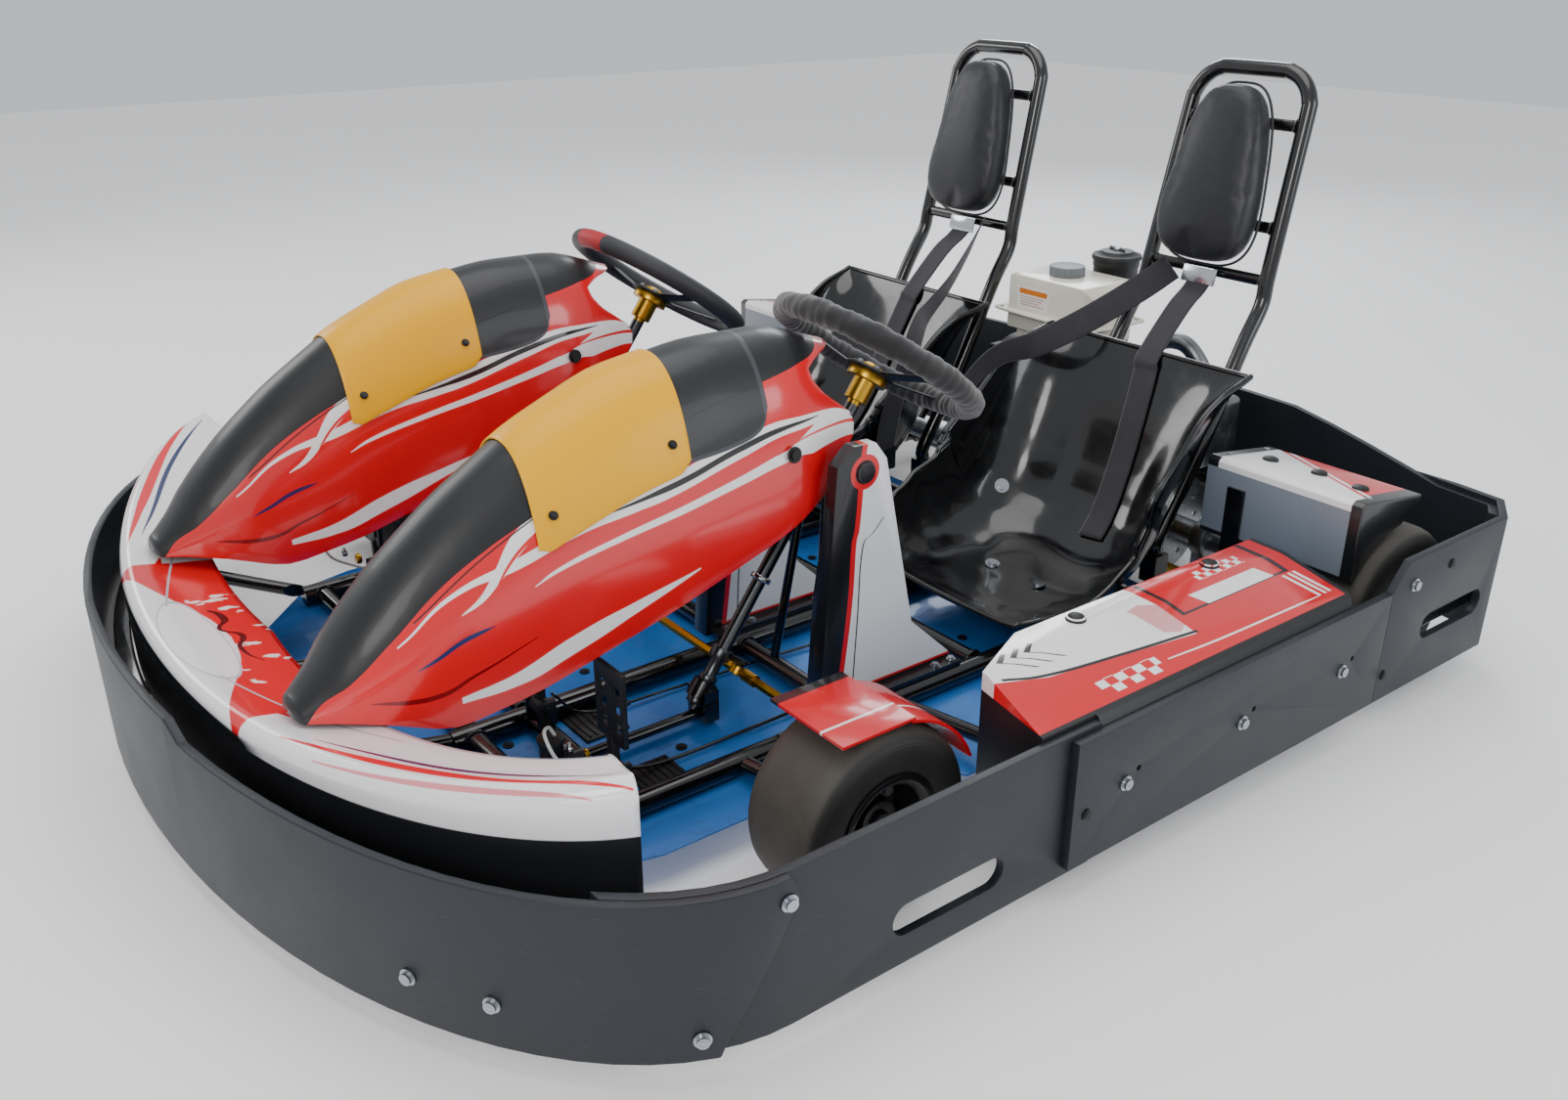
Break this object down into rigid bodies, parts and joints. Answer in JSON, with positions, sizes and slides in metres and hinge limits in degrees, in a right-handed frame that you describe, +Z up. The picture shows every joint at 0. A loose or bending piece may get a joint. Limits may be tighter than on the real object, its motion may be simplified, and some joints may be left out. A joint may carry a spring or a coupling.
{
  "type": "two-seat petrol go kart",
  "caption": "Side-by-side two-seat go kart with rear engine, dual steering, full wrap-round bumper and roll hoops.",
  "frame": {"origin": "on the ground, below the middle of the kart", "axes": "+Z up, the kart faces -Y, +X is the left-hand side as the drivers sit"},
  "size_m": [1.7046, 1.92, 0.8939],
  "materials": {
    "black_tube": "gloss",
    "floor_blue": "satin",
    "bumper_plastic": "satin",
    "zinc": "satin",
    "nose_graphics": "gloss",
    "fairing_red": "gloss",
    "plate_yellow": "gloss",
    "pod_graphics": "gloss",
    "cover_graphics": "gloss",
    "seat_black": "gloss",
    "headrest_vinyl": "satin",
    "webbing": "matt",
    "guard_white": "gloss",
    "engine_metal": "satin",
    "filter_black": "satin",
    "tank_cream": "gloss",
    "exhaust_steel": "satin",
    "bearing_steel": "satin",
    "pedal_black": "satin",
    "caliper_gold": "satin",
    "chain_steel": "satin",
    "wheel_cover": "matt",
    "wheel_foam": "satin",
    "gold_anodised": "satin",
    "knuckle_steel": "satin",
    "fender_red": "gloss",
    "rim_black": "satin",
    "tyre_rubber": "matt",
    "disc_steel": "satin",
    "cap_grey": "satin"
  },
  "bodies": {
    "chassis": {"frame_rails": "black_tube", "frame_crossbars": "black_tube", "chassis_frame": "black_tube", "bumper_ring": "black_tube", "floor_pan": "floor_blue", "front_bumper_strip": "bumper_plastic", "corner_strips": "bumper_plastic", "side_rear_strips": "bumper_plastic", "bumper_screws": "zinc", "nose_panel": "nose_graphics", "left_fairing": "fairing_red", "right_fairing": "fairing_red", "number_plates": "plate_yellow", "left_side_pod": "pod_graphics", "right_side_pod": "pod_graphics", "rear_covers": "cover_graphics", "left_seat": "seat_black", "right_seat": "seat_black", "left_hoop": "black_tube", "right_hoop": "black_tube", "left_headrest": "headrest_vinyl", "right_headrest": "headrest_vinyl", "left_seat_belt": "webbing", "right_seat_belt": "webbing", "left_leg_guards": "guard_white", "right_leg_guards": "guard_white", "engine": "engine_metal", "air_filter": "filter_black", "fuel_tank": "tank_cream", "exhaust": "exhaust_steel", "axle_bearings": "bearing_steel", "pedal_stands": "pedal_black", "brake_caliper": "caliper_gold", "drive_chain": "chain_steel"},
    "left_steering": {"left_steering_wheel": "wheel_cover", "left_steering_shaft": "gold_anodised"},
    "right_steering": {"right_steering_wheel": "wheel_foam", "right_steering_shaft": "gold_anodised"},
    "centre_link": {"centre_link": "gold_anodised"},
    "left_tie_rod": {"left_tie_rod": "gold_anodised"},
    "right_tie_rod": {"right_tie_rod": "gold_anodised"},
    "left_knuckle": {"left_knuckle": "knuckle_steel", "left_fender": "fender_red"},
    "right_knuckle": {"right_knuckle": "knuckle_steel", "right_fender": "fender_red"},
    "left_front_wheel": {"left_front_rim": "rim_black", "left_front_tyre": "tyre_rubber"},
    "right_front_wheel": {"right_front_rim": "rim_black", "right_front_tyre": "tyre_rubber"},
    "rear_axle": {"rear_axle": "bearing_steel", "axle_sprocket": "gold_anodised", "brake_disc": "disc_steel", "rear_rims": "rim_black", "rear_tyres": "tyre_rubber"},
    "clutch": {"clutch_sprocket": "chain_steel"},
    "left_accelerator": {"left_accelerator": "pedal_black"},
    "right_accelerator": {"right_accelerator": "pedal_black"},
    "left_brake": {"left_brake_pedal": "pedal_black"},
    "right_brake": {"right_brake_pedal": "pedal_black"},
    "fuel_cap": {"fuel_cap": "cap_grey"}
  },
  "joints": [
    {"name": "left_steering", "type": "hinge", "parent": "chassis", "child": "left_steering", "pos_m": [0.289, 0.033, 0.512], "axis": [0, 0.5878, 0.809], "range_deg": [-46, 46]},
    {"name": "right_steering", "type": "hinge", "parent": "chassis", "child": "right_steering", "pos_m": [-0.289, 0.033, 0.512], "axis": [0, 0.5878, 0.809], "range_deg": [-46, 46]},
    {"name": "link_pivot", "type": "hinge", "parent": "left_steering", "child": "centre_link", "pos_m": [0.289, -0.20345, 0.11], "axis": [0, 0.5878, 0.809], "range_deg": [-46, 46]},
    {"name": "left_kingpin", "type": "hinge", "parent": "chassis", "child": "left_knuckle", "pos_m": [0.58, -0.3, 0.127], "axis": [0, 0, 1], "range_deg": [-20, 20]},
    {"name": "left_tie_pivot", "type": "hinge", "parent": "left_knuckle", "child": "left_tie_rod", "pos_m": [0.576, -0.20345, 0.11], "axis": [0, 0, 1], "range_deg": [-20, 20]},
    {"name": "left_front_spin", "type": "hinge", "parent": "left_knuckle", "child": "left_front_wheel", "pos_m": [0.67, -0.3, 0.127], "axis": [1, 0, 0], "continuous": true},
    {"name": "right_kingpin", "type": "hinge", "parent": "chassis", "child": "right_knuckle", "pos_m": [-0.58, -0.3, 0.127], "axis": [0, 0, 1], "range_deg": [-20, 20]},
    {"name": "right_tie_pivot", "type": "hinge", "parent": "right_knuckle", "child": "right_tie_rod", "pos_m": [-0.576, -0.20345, 0.11], "axis": [0, 0, 1], "range_deg": [-20, 20]},
    {"name": "right_front_spin", "type": "hinge", "parent": "right_knuckle", "child": "right_front_wheel", "pos_m": [-0.67, -0.3, 0.127], "axis": [1, 0, 0], "continuous": true},
    {"name": "rear_axle_spin", "type": "hinge", "parent": "chassis", "child": "rear_axle", "pos_m": [0, 0.69, 0.132], "axis": [1, 0, 0], "continuous": true},
    {"name": "clutch_spin", "type": "hinge", "parent": "chassis", "child": "clutch", "pos_m": [0.205, 0.802, 0.274], "axis": [1, 0, 0], "continuous": true},
    {"name": "left_accelerator_press", "type": "hinge", "parent": "chassis", "child": "left_accelerator", "pos_m": [0.189, -0.47, 0.1], "axis": [1, 0, 0], "range_deg": [0, 20], "stiffness_Nm_per_rad": 2, "springref_deg": -8.59},
    {"name": "left_brake_press", "type": "hinge", "parent": "chassis", "child": "left_brake", "pos_m": [0.389, -0.47, 0.1], "axis": [1, 0, 0], "range_deg": [0, 20], "stiffness_Nm_per_rad": 2, "springref_deg": -8.59},
    {"name": "right_accelerator_press", "type": "hinge", "parent": "chassis", "child": "right_accelerator", "pos_m": [-0.389, -0.47, 0.1], "axis": [1, 0, 0], "range_deg": [0, 20], "stiffness_Nm_per_rad": 2, "springref_deg": -8.59},
    {"name": "right_brake_press", "type": "hinge", "parent": "chassis", "child": "right_brake", "pos_m": [-0.189, -0.47, 0.1], "axis": [1, 0, 0], "range_deg": [0, 20], "stiffness_Nm_per_rad": 2, "springref_deg": -8.59},
    {"name": "fuel_cap_turn", "type": "hinge", "parent": "chassis", "child": "fuel_cap", "pos_m": [-0.01, 0.778, 0.5], "axis": [0, 0, 1], "range_deg": [0, 120]}
  ],
  "couplings": [
    {"joint": "right_steering", "follows": "left_steering", "ratio": 1},
    {"joint": "link_pivot", "follows": "left_steering", "ratio": -1},
    {"joint": "left_kingpin", "follows": "left_steering", "ratio": 0.43},
    {"joint": "right_kingpin", "follows": "left_steering", "ratio": 0.43},
    {"joint": "left_tie_pivot", "follows": "left_steering", "ratio": -0.43},
    {"joint": "right_tie_pivot", "follows": "left_steering", "ratio": -0.43},
    {"joint": "clutch_spin", "follows": "rear_axle_spin", "ratio": 2.4444}
  ]
}
